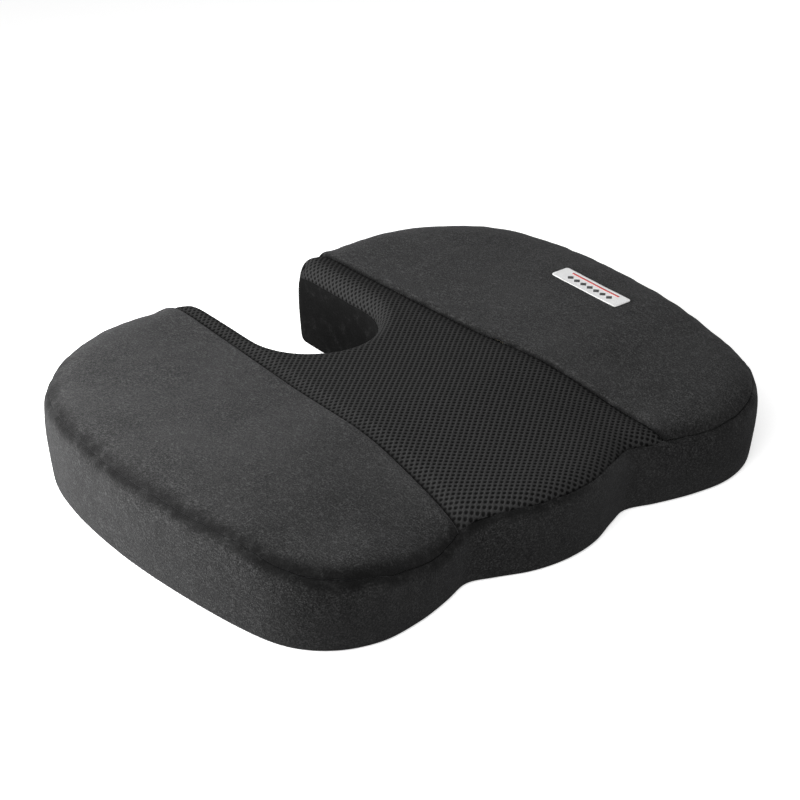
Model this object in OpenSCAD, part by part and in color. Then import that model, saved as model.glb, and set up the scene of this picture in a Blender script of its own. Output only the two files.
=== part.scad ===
// Contoured seat cushion: a moulded foam core in a zipped, sewn cover.
// Two thigh lobes, a scalloped leg edge, and a U-shaped relief notch at the rear.
// +X across the lobes, -Y towards the leg edge, +Z up, origin at the middle of the underside.

/* [Overall] */
// Half of the width, to the top seam of the side wall
half_w = 217; // [195:1:235]
// Half of the depth, to the top seam of the wall
half_d = 174; // [160:1:185]
// Height of the thigh lobes, without the label
lobe_h = 69.4; // [60:0.1:78]

/* [Top shape] */
// How far the middle lies below the lobes
dish = 4; // [0:0.5:8]
// How far the top falls towards the leg edge
leg_fall = 9; // [4:0.5:12]
// Extra depth of the two leg channels at the leg edge
channel_depth = 7; // [3:0.5:9]
// Distance of a leg channel from the middle
channel_x = 100; // [90:1:110]
// Drop of the top's rounded edge at the sides and rear
edge_drop = 4.5; // [3:0.5:7]
// Extra edge drop at the front of each lobe
lobe_front_drop = 5; // [0:0.5:6]
// Width of the rounded edge
edge_roll = 26; // [18:1:30]
// Half of the mesh panel's width at the rear
mesh_rear = 66; // [60:1:70]
// How much the mesh panel widens to each side at the leg edge
mesh_flare = 20; // [10:1:24]

/* [Relief notch] */
// Radius of the notch's round end
notch_r = 46; // [40:1:48]
// Y of the round end's centre
notch_y = 92; // [88:1:100]
// Radius of the rolled rim
rim_r = 12; // [8:1:14]

/* [Cover] */
// Thickness of the top panels and bands
cover_t = 2; // [1:0.1:2.5]
// Thickness of the bottom panels, with their grip dots
bottom_t = 1.6; // [1.2:0.1:2]
// Outward bulge of the side wall at mid height
wall_bulge = 4; // [2:0.5:5]

/* [Label] */
// Length of the label
label_l = 66; // [50:1:66]
// Width of the label
label_w = 16; // [12:1:16]
// Middle of the label along X
label_x = 176; // [172:1:178]

/* [Zip] */
// Y of the zip line
zip_y = -12; // [-30:1:0]
// Slider travel
zip_travel = 360; // [300:10:360]
// Length of the pull tab, from its pivot
pull_l = 24; // [18:1:25]

/* [Hidden] */
$fn = 48;

// ---- plan outline -------------------------------------------------------------------
// Half of the outline from the middle of the leg edge to the rear corner, as fractions
// of half_w and half_d.
half_outline = [
    [0, -1], [0.12, -0.98], [0.23, -0.925], [0.315, -0.89], [0.415, -0.93], [0.545, -0.97],
    [0.68, -0.98], [0.81, -0.92], [0.905, -0.79], [0.955, -0.575], [0.99, -0.23], [1, 0.085],
    [0.98, 0.4], [0.925, 0.645], [0.8, 0.83], [0.617, 0.95], [0.425, 0.993], [0.277, 1]
];
half_count = len(half_outline);
control = [
    for (i = [half_count - 1 : -1 : 1]) [-half_outline[i].x * half_w, half_outline[i].y * half_d],
    for (p = half_outline) [p.x * half_w, p.y * half_d]
];
last_control = len(control) - 1;
arc_steps = 3;
n = last_control * arc_steps;

function ctrl(i) = control[max(0, min(last_control, i))];
function spline(a, b, c, d, t) =
    (2 * b + (c - a) * t + (2 * a - 5 * b + 4 * c - d) * t * t + (3 * b - a - 3 * c + d) * t * t * t) / 2;
function outer_at(k) =
    let (i = min(floor(k / arc_steps), last_control - 1), t = k / arc_steps - i)
    spline(ctrl(i - 1), ctrl(i), ctrl(i + 1), ctrl(i + 2), t);
outer = [for (k = [0 : n]) outer_at(k)];

function run(points, k) = k == 0 ? 0 : run(points, k - 1) + norm(points[k] - points[k - 1]);
outer_run = [for (k = [0 : n]) run(outer, k) / run(outer, n)];

// The notch: two straight sides and a half circle, at a fraction of its length
notch_side = 0.94 * half_d - notch_y;
notch_len = 2 * notch_side + PI * notch_r;
function notch_at(f) =
    let (s = f * notch_len, bow = (s - notch_side) / notch_r * 180 / PI)
    s < notch_side ? [-notch_r, notch_y + notch_side - s] :
    s > notch_len - notch_side ? [notch_r, notch_y + s - notch_len + notch_side] :
    [-notch_r * cos(bow), notch_y - notch_r * sin(bow)];
inner = [for (k = [0 : n]) notch_at(outer_run[k])];

function unit(v) = v / norm(v);
function side_normal(points, k) =
    let (t = points[min(n, k + 1)] - points[max(0, k - 1)]) unit([t.y, -t.x]);
outer_out = [for (k = [0 : n]) side_normal(outer, k)];
function shifted(k, d) = outer[k] + outer_out[k] * d;

// ---- top surface --------------------------------------------------------------------
function ease(t) = let (c = max(0, min(1, t))) c * c * (3 - 2 * c);
function bell(t) = exp(-t * t);
function plateau(p) =
    let (ax = abs(p.x), fall = ease((-30 - p.y) / 135))
    lobe_h - dish * (1 - ease((ax - mesh_rear) / 60))
        - leg_fall * fall - channel_depth * fall * bell((ax - channel_x) / 42);
function edge_fall(p) =
    edge_drop + lobe_front_drop * ease((-100 - p.y) / 60) * bell((abs(p.x) - 140) / 45);
// Height of the cover at a point on ray k, v from 0 at the outline to 1 at the notch
function ray_point(k, v) = outer[k] * (1 - v) + inner[k] * v;
function ray_len(k) = norm(outer[k] - inner[k]);
function top_z(k, v) =
    let (
        p = ray_point(k, v), lean = abs(outer_out[k] * unit(outer[k] - inner[k])),
        edge_gap = v * ray_len(k) * lean, rim_gap = (1 - v) * ray_len(k),
        rolled = 1 - min(1, edge_gap / edge_roll), rim = 1 - min(1, rim_gap / rim_r)
    )
    plateau(p) - edge_fall(p) * rolled * rolled - rim_r * (1 - sqrt(1 - rim * rim));

// ---- seams between the mesh and the lobes -------------------------------------------
function seam_x(y) = mesh_rear + mesh_flare * pow(max(0, min(1, (half_d - y) / (2 * half_d))), 1.5);
// Fraction along ray k at which it crosses the seam
function seam_gap(k, v) = let (p = ray_point(k, v)) abs(p.x) - seam_x(p.y);
function seam_search(k, lo, hi, left) =
    let (mid = (lo + hi) / 2)
    left == 0 ? mid : seam_gap(k, mid) > 0 ? seam_search(k, mid, hi, left - 1) : seam_search(k, lo, mid, left - 1);
thin_end = 0.6;
function seam_v(k) =
    seam_gap(k, 0) > 0 ? max(thin_end / ray_len(k), seam_search(k, 0, 1, 20)) : thin_end / ray_len(k);
seam = [for (k = [0 : n]) seam_v(k)];
on_lobe = [for (k = [0 : n]) if (seam_gap(k, 0) > 0) k];
left_rays = [for (k = on_lobe) if (outer[k].x < 0) k];
right_rays = [for (k = on_lobe) if (outer[k].x > 0) k];
function first(list) = list[0];
function last(list) = list[len(list) - 1];

// ---- closed sheets ------------------------------------------------------------------
// A closed solid between two grids of points that have the same rows and columns
module between(lower, upper) {
    rows = len(upper);
    cols = len(upper[0]);
    size = rows * cols;
    function at(i, j) = i * cols + j;
    points = concat([for (r = upper) each r], [for (r = lower) each r]);
    top = [for (i = [0 : rows - 2], j = [0 : cols - 2])
        each [[at(i, j), at(i + 1, j), at(i + 1, j + 1)], [at(i, j), at(i + 1, j + 1), at(i, j + 1)]]];
    base = [for (f = top) [f[2] + size, f[1] + size, f[0] + size]];
    rim = concat(
        [for (i = [0 : rows - 2]) [at(i + 1, 0), at(i, 0)]],
        [for (i = [0 : rows - 2]) [at(i, cols - 1), at(i + 1, cols - 1)]],
        [for (j = [0 : cols - 2]) [at(0, j), at(0, j + 1)]],
        [for (j = [0 : cols - 2]) [at(rows - 1, j + 1), at(rows - 1, j)]]
    );
    walls = [for (e = rim) each [[e[0], e[1], e[1] + size], [e[0], e[1] + size, e[0] + size]]];
    polyhedron(points, concat(top, base, walls));
}

// A sheet of the top, over rays a to b, from fraction v0[k] to v1[k]
module top_sheet(a, b, v0, v1, cols, power, sink, t) {
    function frac(j) = power == 0 ? (1 - cos(180 * j / cols)) / 2 : pow(j / cols, power);
    function grid(dz) = [for (k = [a : b]) [for (j = [0 : cols])
        let (v = v0[k] + (v1[k] - v0[k]) * frac(j), p = ray_point(k, v)) [p.x, p.y, top_z(k, v) - dz]]];
    between(grid(sink + t), grid(sink));
}
at_edge = [for (k = [0 : n]) 0];
at_notch = [for (k = [0 : n]) 1];

// ---- foam ---------------------------------------------------------------------------
foam_gap = 0.9;
foam_base = 3;
foam_inset = cover_t + 2.2;
zip_room_w = 19;
zip_room_h = 8.2;
module foam_core() {
    cols = 10;
    inner_out = [for (k = [0 : n]) side_normal(inner, k)];
    // Fraction of ray k that lies within the inset of an edge with the given normals
    function edge_share(k, normals) =
        let (lean = abs(normals[k] * unit(outer[k] - inner[k]))) foam_inset / ray_len(k) / max(lean, 0.3);
    function foam_v(k, j) =
        let (a = edge_share(k, outer_out), b = 1 - edge_share(k, inner_out))
        a + (b - a) * (1 - cos(180 * j / cols)) / 2;
    // The foam's own rim is softer than the mesh that is rolled over it
    function rim_slack(k, v) = 3 * (1 - min(1, (1 - v) * ray_len(k) / rim_r));
    function foam_z(k, v) = top_z(k, v) - cover_t - foam_gap - rim_slack(k, v);
    function grid(low) = [for (k = [1 : n - 1]) [for (j = [0 : cols])
        let (v = foam_v(k, j), p = ray_point(k, v)) [p.x, p.y, low ? foam_base : foam_z(k, v)]]];
    color("#e9e3d2") difference() {
        between(grid(true), grid(false));
        translate([-half_w, zip_y - zip_room_w / 2, foam_base - 1])
            cube([2 * half_w, zip_room_w, zip_room_h - foam_base + 1]);
    }
}

// ---- cover --------------------------------------------------------------------------
module lobe_panel(rays) {
    top_sheet(first(rays) - 1, last(rays) + 1, at_edge, seam, 7, 1.6, 0, cover_t);
}
module left_top_panel() { color("#4b4b4d") lobe_panel(left_rays); }
module right_top_panel() { color("#3f3f41") lobe_panel(right_rays); }
mesh_start = [for (k = [0 : n]) seam_gap(k, 0) > 0 || is_lobe_end(k) ? seam[k] : 0];
function is_lobe_end(k) =
    k == first(left_rays) - 1 || k == last(left_rays) + 1 || k == first(right_rays) - 1 || k == last(right_rays) + 1;
module centre_mesh_panel() {
    color("#161617") top_sheet(0, n, mesh_start, at_notch, 8, 0, 0, cover_t);
}

// Heights of the wall's rows as fractions, and the bulge at each
wall_rows = [0, 0.08, 0.3, 0.55, 0.8, 1];
function wall_out(f) = f == 0 ? -1.5 : wall_bulge * sin(180 * min(1, 0.12 + f * 0.88));
module side_band() {
    function ring(in) = [for (f = wall_rows) [for (k = [0 : n])
        let (p = shifted(k, wall_out(f) - in), top = top_z(k, 0) - cover_t)
        [p.x, p.y, bottom_t + (top - bottom_t) * f]]];
    color("#434345") between(ring(cover_t), ring(0));
}

// The notch band runs from one rear corner round the notch to the other, clear of the side band's ends
function corner_start(k) = outer[k] + 1.2 * cover_t * unit(inner[k] - outer[k]);
notch_path = concat([corner_start(0)], inner, [corner_start(n)]);
function notch_top(i) = top_z(max(0, min(n, i - 1)), i == 0 || i == n + 2 ? 0 : 1) - cover_t;
module notch_band() {
    count = len(notch_path) - 1;
    function out(i) =
        let (t = notch_path[min(count, i + 1)] - notch_path[max(0, i - 1)]) unit([t.y, -t.x]);
    function ring(in) = [for (f = [0, 1]) [for (i = [0 : count])
        let (p = notch_path[i] + out(i) * in) [p.x, p.y, bottom_t + (notch_top(i) - bottom_t) * f]]];
    color("#1f1f20") between(ring(0), ring(cover_t));
}

// ---- underside ----------------------------------------------------------------------
hem_in = 1.5;
slot_w = 14;
module footprint() {
    polygon(concat([for (k = [0 : n]) shifted(k, -hem_in)], [for (k = [n : -1 : 0]) inner[k]]));
}
module bottom_half(front) {
    slot_edge = zip_y + (front ? -1 : 1) * slot_w / 2;
    color("#26262a") linear_extrude(bottom_t) intersection() {
        footprint();
        translate([-half_w, front ? slot_edge - 2 * half_d : slot_edge]) square([2 * half_w, 2 * half_d]);
    }
}
module bottom_panel_front() { bottom_half(true); }
module bottom_panel_rear() { bottom_half(false); }

// ---- zip ----------------------------------------------------------------------------
// Heights above the floor: the zip is recessed so that its pull never touches the seat
pivot_z = 2.1;
plate_z = 2.9;
plate_t = 0.8;
coil_z = 4;
coil_h = 1.8;
coil_w = 2.6;
coil_gap = 1.1;
tape_t = 0.5;
tape_z = coil_z + coil_h;
lid_z = tape_z + tape_t + 0.3;
slider_l = 10;
slider_w = 8.6;
rest_x = -zip_travel / 2;
coil_l = zip_travel + slider_l + 16;
tape_half = half_w - hem_in - cover_t - 1.5;

// Tape section: flat beside the coil, a step down, and the hem sewn inside the panel
module tape_section() {
    polygon([
        [coil_gap / 2, tape_z], [slot_w / 2 - 0.6, tape_z], [slot_w / 2 + 0.4, bottom_t],
        [slot_w / 2 + 9, bottom_t], [slot_w / 2 + 9, bottom_t + tape_t], [slot_w / 2 + 0.9, bottom_t + tape_t],
        [slot_w / 2 - 0.1, tape_z + tape_t], [coil_gap / 2, tape_z + tape_t]
    ]);
}
module zip_tape_rear() {
    color("#111112") translate([-tape_half, zip_y, 0])
        rotate([90, 0, 90]) linear_extrude(2 * tape_half) tape_section();
}
module zip_tape_front() {
    color("#111112") translate([0, 2 * zip_y, 0]) mirror([0, 1, 0]) zip_tape_rear();
}
module coil_row(side) {
    color("#0d0d0e") translate([-coil_l / 2, zip_y + side * (coil_gap + coil_w) / 2, coil_z + coil_h / 2])
        rotate([90, 0, 90]) linear_extrude(coil_l) intersection() {
            circle(d = coil_w);
            square([coil_w, coil_h], center = true);
        }
}
module zip_coil_front() { coil_row(-1); }
module zip_coil_rear() { coil_row(1); }

module zip_stop(side) {
    stop_l = 2;
    color("#8e8f92") translate([side * (zip_travel / 2 + slider_l / 2 + 0.6 + stop_l / 2), zip_y, coil_z - 0.75])
        difference() {
            translate([-stop_l / 2, -3.6, 0]) cube([stop_l, 7.2, 2.4]);
            translate([-stop_l, -3.2, 0.7]) cube([2 * stop_l, 6.4, 2]);
        }
}
module zip_stop_left() { zip_stop(-1); }
module zip_stop_right() { zip_stop(1); }

module round_plate(l, w, r, t) {
    linear_extrude(t) union() {
        square([l - 2 * r, w], center = true);
        square([l, w - 2 * r], center = true);
        for (x = [-1, 1], y = [-1, 1]) translate([x * (l / 2 - r), y * (w / 2 - r)]) circle(r);
    }
}

bridge_reach = 3;
bridge_w = 1.8;
module zip_slider() {
    neck_w = 0.5;
    color("#7d7e82") translate([rest_x, zip_y, 0]) union() {
        translate([0, 0, plate_z]) round_plate(slider_l, slider_w, 1.6, plate_t);
        translate([0, 0, lid_z]) round_plate(slider_l, slider_w, 1.6, plate_t);
        for (side = [-1, 1])
            translate([-slider_l / 2 + 1.6, side * (slider_w / 2 - 0.35) - 0.35, plate_z])
                cube([slider_l - 3.2, 0.7, tape_z - 0.4 - plate_z]);
        translate([1.8, -neck_w / 2, plate_z]) cube([2.6, neck_w, lid_z - plate_z + 0.1]);
        // bridge that holds the pull
        translate([-bridge_reach, -bridge_w / 2, 0.9]) cube([2 * bridge_reach, bridge_w, 0.6]);
        for (x = [-bridge_reach, bridge_reach - 0.8])
            translate([x, -bridge_w / 2, 0.9]) cube([0.8, bridge_w, plate_z - 0.9 + 0.1]);
    }
}

module zip_pull() {
    pin_r = 0.35;
    arm_w = 1;
    arm_in = bridge_w / 2 + 0.35;
    tab_start = 3.9;
    tab_w = 6;
    tab_t = 1;
    color("#77787c") translate([rest_x, zip_y, pivot_z]) union() {
        rotate([90, 0, 0]) cylinder(r = pin_r, h = 2 * arm_in + 0.2, center = true);
        for (side = [-1, 1]) {
            translate([0, side * (arm_in + arm_w / 2), 0]) rotate([90, 0, 0]) cylinder(r = 0.5, h = arm_w, center = true);
            translate([0, side * (arm_in + arm_w / 2) - arm_w / 2, -0.35]) cube([tab_start + 0.5, arm_w, 0.7]);
        }
        difference() {
            translate([tab_start + (pull_l - tab_start) / 2, 0, -tab_t / 2])
                round_plate(pull_l - tab_start, tab_w, 1.5, tab_t);
            translate([pull_l - 3.6, 0, -tab_t]) cylinder(d = 2.6, h = 2 * tab_t);
        }
    }
}

// ---- label --------------------------------------------------------------------------
label_t = 0.45;
label_y = -2;
module label() {
    color("#f2f2f0") translate([label_x, label_y, lobe_h + 0.05]) round_plate(label_w, label_l, 2, label_t);
}
module label_stitching() {
    pitch = 3;
    stitch = [1.9, 0.4, 0.12];
    in = 1.4;
    long_count = floor((label_l - 6) / pitch);
    short_count = floor((label_w - 6) / pitch);
    color("#c9c9c6") translate([label_x, label_y, lobe_h + 0.05 + label_t]) {
        for (side = [-1, 1], i = [0 : long_count])
            translate([side * (label_w / 2 - in), (i - long_count / 2) * pitch, 0]) rotate(90)
                translate([-stitch.x / 2, -stitch.y / 2, 0]) cube(stitch);
        for (side = [-1, 1], i = [0 : short_count])
            translate([(i - short_count / 2) * pitch, side * (label_l / 2 - in), 0])
                translate([-stitch.x / 2, -stitch.y / 2, 0]) cube(stitch);
    }
}

foam_core();
left_top_panel();
centre_mesh_panel();
right_top_panel();
side_band();
notch_band();
bottom_panel_front();
bottom_panel_rear();
zip_tape_front();
zip_tape_rear();
zip_coil_front();
zip_coil_rear();
zip_stop_left();
zip_stop_right();
zip_slider();
zip_pull();
label();
label_stitching();
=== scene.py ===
# Contoured seat cushion: sewn velour and spacer mesh cover over a foam core, with a zipped grip underside.
import math

import bmesh
import bpy
import numpy as np
from mathutils import Matrix, Vector, kdtree, noise


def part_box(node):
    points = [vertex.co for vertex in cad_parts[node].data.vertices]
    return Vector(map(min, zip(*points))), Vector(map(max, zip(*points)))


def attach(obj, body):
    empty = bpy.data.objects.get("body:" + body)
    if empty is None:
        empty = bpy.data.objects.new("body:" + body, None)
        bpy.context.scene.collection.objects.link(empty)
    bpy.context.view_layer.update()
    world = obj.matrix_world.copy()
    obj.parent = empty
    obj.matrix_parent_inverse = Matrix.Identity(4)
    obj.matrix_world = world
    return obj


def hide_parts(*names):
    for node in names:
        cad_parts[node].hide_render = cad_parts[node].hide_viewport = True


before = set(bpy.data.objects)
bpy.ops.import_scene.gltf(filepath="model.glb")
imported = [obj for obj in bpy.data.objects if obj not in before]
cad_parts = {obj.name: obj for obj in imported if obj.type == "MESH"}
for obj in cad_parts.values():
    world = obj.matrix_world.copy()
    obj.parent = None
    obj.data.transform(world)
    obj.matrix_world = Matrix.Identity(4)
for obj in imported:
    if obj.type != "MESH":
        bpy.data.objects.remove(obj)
noise.seed_set(11)  # the soft waves fall the same way every time
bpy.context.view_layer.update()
mm = 0.001

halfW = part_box("right_top_panel")[1][0]
halfD = -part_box("centre_mesh_panel")[0][1]
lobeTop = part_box("right_top_panel")[1][2]
print("frame loaded, half width %.3f, half depth %.3f" % (halfW, halfD))

view = {"azimuth": -39.09, "elevation": 29.53, "distance": 1.716, "lens": 109.4, "target": (0.0472, 0.053, 0.0)}


def towards(azimuth, elevation):
    a, e = math.radians(azimuth), math.radians(elevation)
    return Vector((math.sin(a) * math.cos(e), -math.cos(a) * math.cos(e), math.sin(e)))


def aim(obj, place, target):
    obj.location = place
    obj.rotation_euler = (Vector(target) - Vector(place)).to_track_quat("-Z", "Y").to_euler()


def makeCamera():
    cam = bpy.data.cameras.new("camera")
    cam.lens, cam.sensor_width, cam.clip_start, cam.clip_end = view["lens"], 36, 0.01, 50
    obj = bpy.data.objects.new("camera", cam)
    bpy.context.collection.objects.link(obj)
    target = Vector(view["target"])
    aim(obj, target + towards(view["azimuth"], view["elevation"]) * view["distance"], target)
    bpy.context.scene.camera = obj
    bpy.context.scene.view_settings.view_transform = "Standard"


softLights = [
    {"name": "backLight", "place": (-0.45, 0.35, 0.35), "size": (0.3, 0.3), "power": 4.2},
    {"name": "leftLight", "place": (-0.60, 0.20, 0.15), "size": (0.40, 0.16), "power": 3.65},
    {"name": "frontLight", "place": (-0.50, -0.50, 0.75), "size": (0.5, 0.5), "power": 6.1},
    {"name": "rightFill", "place": (1.0, 0.1, 0.14), "size": (0.5, 0.5), "power": 1.4},
]
worldStrength = 0.22


def makeLights():
    for spec in softLights:
        lamp = bpy.data.lights.new(spec["name"], "AREA")
        lamp.shape, lamp.energy = "RECTANGLE", spec["power"]
        lamp.size, lamp.size_y = spec["size"]
        obj = bpy.data.objects.new(spec["name"], lamp)
        obj.visible_camera = False
        bpy.context.collection.objects.link(obj)
        aim(obj, Vector(spec["place"]), (0, 0, 0.04))
    world = bpy.data.worlds.new("studio")
    world.use_nodes = True
    world.node_tree.nodes["Background"].inputs["Color"].default_value = (1, 1, 1, 1)
    world.node_tree.nodes["Background"].inputs["Strength"].default_value = worldStrength
    bpy.context.scene.world = world


class Nodes:
    def __init__(self, name):
        self.mat = bpy.data.materials.new(name)
        self.mat.use_nodes = True
        self.tree = self.mat.node_tree
        self.shader = self.tree.nodes["Principled BSDF"]

    def add(self, kind, links=(), **settings):
        node = self.tree.nodes.new(kind)
        for key, value in settings.items():
            setattr(node, key, value)
        for socket, source in dict(links).items():
            if hasattr(source, "is_output"):
                self.tree.links.new(source, node.inputs[socket])
            else:
                node.inputs[socket].default_value = source
        return node

    def coords(self, uv=None):
        if uv:
            return self.add("ShaderNodeUVMap", uv_map=uv).outputs["UV"]
        return self.add("ShaderNodeTexCoord").outputs["Object"]

    def noise(self, vector, scale, detail=2, rough=0.5):
        links = {"Vector": vector, "Scale": scale, "Detail": detail, "Roughness": rough}
        return self.add("ShaderNodeTexNoise", links).outputs["Fac"]

    def wave(self, vector, scale, wobble=0.0, axis="X"):
        links = {"Vector": vector, "Scale": scale, "Distortion": wobble}
        return self.add("ShaderNodeTexWave", links, bands_direction=axis).outputs["Fac"]

    def stretch(self, vector, scale, turn=0):
        links = {"Vector": vector, "Scale": scale, "Rotation": (0, 0, turn)}
        return self.add("ShaderNodeMapping", links).outputs["Vector"]

    def vec(self, operation, a, b):
        return self.add("ShaderNodeVectorMath", {0: a, 1: b}, operation=operation).outputs["Vector"]

    def math(self, operation, a, b=0.0):
        return self.add("ShaderNodeMath", {0: a, 1: b}, operation=operation).outputs["Value"]

    def span(self, value, low, high, toLow=0.0, toHigh=1.0, smooth=True):
        links = {"Value": value, "From Min": low, "From Max": high, "To Min": toLow, "To Max": toHigh}
        kind = "SMOOTHSTEP" if smooth else "LINEAR"
        return self.add("ShaderNodeMapRange", links, interpolation_type=kind).outputs["Result"]

    def mix(self, share, a, b):
        node = self.add("ShaderNodeMix", {0: share}, data_type="RGBA")
        for index, source in ((6, a), (7, b)):
            if hasattr(source, "is_output"):
                self.tree.links.new(source, node.inputs[index])
            else:
                node.inputs[index].default_value = (*source, 1)
        return node.outputs[2]

    def bump(self, height, distance, strength=1.0, below=None):
        links = {"Height": height, "Distance": distance, "Strength": strength}
        if below:
            links["Normal"] = below
        return self.add("ShaderNodeBump", links).outputs["Normal"]

    def finish(self, color, normal=None, rough=None, **constants):
        self.tree.links.new(color, self.shader.inputs["Base Color"])
        if normal:
            self.tree.links.new(normal, self.shader.inputs["Normal"])
        if rough is not None:
            self.tree.links.new(rough, self.shader.inputs["Roughness"])
        for name, value in constants.items():
            self.shader.inputs[name.replace("_", " ")].default_value = value
        return self.mat


def grey(level, warm=0.0):
    return (level * (1 + warm), level, level * (1 - warm * 0.5))


velourLook = {"deep": 0.008, "pile": 0.028, "tip": 0.072, "speck": 1100, "mottle": 90, "sheen": 0.10}


def velourMaterial(name, sheen):
    look, n = velourLook, Nodes(name)
    co = n.coords()
    fine = n.noise(co, look["speck"], 1, 0.5)
    tufts = n.noise(n.stretch(co, (1.0, 0.45, 1.0), 0.7), 620, 2, 0.6)
    patch = n.noise(co, look["mottle"], 3, 0.6)
    broad = n.noise(co, 16, 2, 0.5)
    base = n.mix(n.span(fine, 0.34, 0.60), grey(look["deep"]), grey(look["pile"]))
    brushed = n.mix(n.span(tufts, 0.52, 0.72), base, grey(look["tip"] * 0.7))
    tips = n.mix(n.span(fine, 0.60, 0.72, 0, 0.8), brushed, grey(look["tip"]))
    worn = n.mix(n.span(patch, 0.35, 0.7, 0, 0.3), tips, grey(look["deep"] * 1.4))
    soft = n.mix(n.span(broad, 0.4, 0.65, 0, 0.18), worn, grey(look["tip"] * 0.7))
    # painted shade: the seamShade attribute darkens the pile towards dark grey in creases, along seams and over
    # the notch wall
    shade = n.add("ShaderNodeAttribute", attribute_name="seamShade").outputs["Fac"]
    ragged = n.math("MULTIPLY", shade, n.span(patch, 0.25, 0.6, 0.55, 1.0))
    color = n.mix(n.span(ragged, 0.05, 0.9, 0, 0.9), soft, grey(look["deep"] * 0.55))
    lay = n.bump(n.noise(co, 150, 2), 0.0006, 0.45)
    pile = n.bump(n.math("ADD", fine, n.math("MULTIPLY", tufts, 0.6)), 0.0006, 0.6, lay)
    rough = n.span(patch, 0.3, 0.7, 0.85, 1.0)
    return n.finish(color, pile, rough, Sheen_Weight=sheen, Sheen_Roughness=0.5,
                    Sheen_Tint=(0.8, 0.8, 0.82, 1), Specular_IOR_Level=0.08)


meshLook = {
    "pitchX": 5.4 * mm, "pitchY": 4.4 * mm, "holeX": 1.3 * mm, "holeY": 1.0 * mm, "holeDepth": 0.8 * mm,
    "rib": 0.033, "hole": 0.002,
}


def spacerMeshMaterial():
    look, n = meshLook, Nodes("spacerMesh")
    uv = n.coords("weave")
    co = n.coords()
    cells = n.vec("MULTIPLY", uv, (1 / look["pitchX"], 1 / look["pitchY"], 0))
    reach = (look["pitchX"] / look["holeX"], look["pitchY"] / look["holeY"], 0)

    def toHole(shift):
        cell = n.vec("FRACTION", n.vec("ADD", cells, (shift, shift, 0)), (0, 0, 0))
        part = n.vec("MULTIPLY", n.vec("SUBTRACT", cell, (0.5, 0.5, 0)), reach)
        return n.add("ShaderNodeVectorMath", {0: part}, operation="LENGTH").outputs["Value"]

    away = n.math("MINIMUM", toHole(0.0), toHole(0.5))
    ribs = n.span(away, 0.65, 1.35)
    yarn = n.noise(n.stretch(co, (1, 1, 1), 0.7), 2600, 2, 0.6)
    ribColor = n.mix(n.span(yarn, 0.35, 0.7), grey(look["rib"] * 0.55), grey(look["rib"] * 1.35))
    # painted shade: the seamShade attribute darkens the knit beside the seams
    shade = n.add("ShaderNodeAttribute", attribute_name="seamShade").outputs["Fac"]
    knitted = n.mix(ribs, grey(look["hole"]), ribColor)
    color = n.mix(n.span(shade, 0.1, 0.9, 0, 0.85), knitted, grey(look["hole"]))
    knit = n.bump(n.span(away, 0.4, 1.7), 0.0006, 0.6)
    normal = n.bump(yarn, 0.0002, 0.5, knit)
    rough = n.span(yarn, 0.3, 0.7, 0.6, 0.85)
    return n.finish(color, normal, rough, Specular_IOR_Level=0.12)


def gripMaterial():
    n = Nodes("gripFabric")
    co = n.coords()
    over = n.wave(co, 420, 0.4)
    under = n.wave(co, 420, 0.4, "Y")
    weave = n.math("MULTIPLY", over, under)
    soil = n.noise(co, 40, 3)
    color = n.mix(weave, grey(0.016), grey(0.045))
    color = n.mix(n.span(soil, 0.4, 0.7, 0, 0.3), color, grey(0.03))
    return n.finish(color, n.bump(weave, 0.0003, 0.6), n.span(soil, 0.3, 0.7, 0.7, 0.9), Specular_IOR_Level=0.3)


def rubberMaterial():
    n = Nodes("gripRubber")
    co = n.coords()
    grain = n.noise(co, 1800, 2)
    color = n.mix(n.noise(co, 90, 2), grey(0.018), grey(0.032))
    rough = n.span(grain, 0.3, 0.7, 0.45, 0.65)
    return n.finish(color, n.bump(grain, 0.0001, 0.4), rough, Specular_IOR_Level=0.5)


def tapeMaterial():
    n = Nodes("zipTape")
    co = n.coords()
    herring = n.wave(n.stretch(co, (1, 1, 1), 0.6), 520, 0.8)
    color = n.mix(herring, grey(0.008), grey(0.028))
    return n.finish(color, n.bump(herring, 0.0002, 0.6), n.span(herring, 0, 1, 0.75, 0.9), Sheen_Weight=0.15)


def coilMaterial():
    n = Nodes("nylonCoil")
    co = n.coords()
    streak = n.noise(co, 700, 2)
    color = n.mix(streak, grey(0.010), grey(0.026))
    rough = n.span(streak, 0.3, 0.7, 0.3, 0.45)
    return n.finish(color, n.bump(streak, 0.0001, 0.3), rough, Specular_IOR_Level=0.5)


def enamelMaterial():
    n = Nodes("enamelledZinc")
    co = n.coords()
    orange = n.noise(co, 900, 2)
    wear = n.noise(co, 260, 4, 0.7)
    color = n.mix(n.span(wear, 0.62, 0.7), grey(0.030), grey(0.22))
    rough = n.span(wear, 0.3, 0.75, 0.28, 0.45)
    return n.finish(color, n.bump(orange, 0.00008, 0.4), rough, Metallic=0.55, Coat_Weight=0.3)


def satinMaterial():
    n = Nodes("labelSatin")
    co = n.coords()
    warp = n.wave(co, 900, 0.3, "Y")
    soil = n.noise(co, 200, 3)
    color = n.mix(warp, grey(0.86), grey(0.97))
    color = n.mix(n.span(soil, 0.45, 0.75, 0, 0.2), color, grey(0.78, 0.02))
    return n.finish(color, n.bump(warp, 0.0001, 0.5), n.span(soil, 0.3, 0.7, 0.45, 0.6), Sheen_Weight=0.2)


def threadMaterial(name, level, tint=(1, 1, 1)):
    n = Nodes(name)
    co = n.coords()
    twist = n.wave(n.stretch(co, (1, 1, 1), 0.8), 1500)
    dark, light = [tuple(level * share * t for t in tint) for share in (0.7, 1.15)]
    color = n.mix(twist, dark, light)
    return n.finish(color, n.bump(twist, 0.0001, 0.6), n.span(twist, 0, 1, 0.5, 0.7), Sheen_Weight=0.2)


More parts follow.
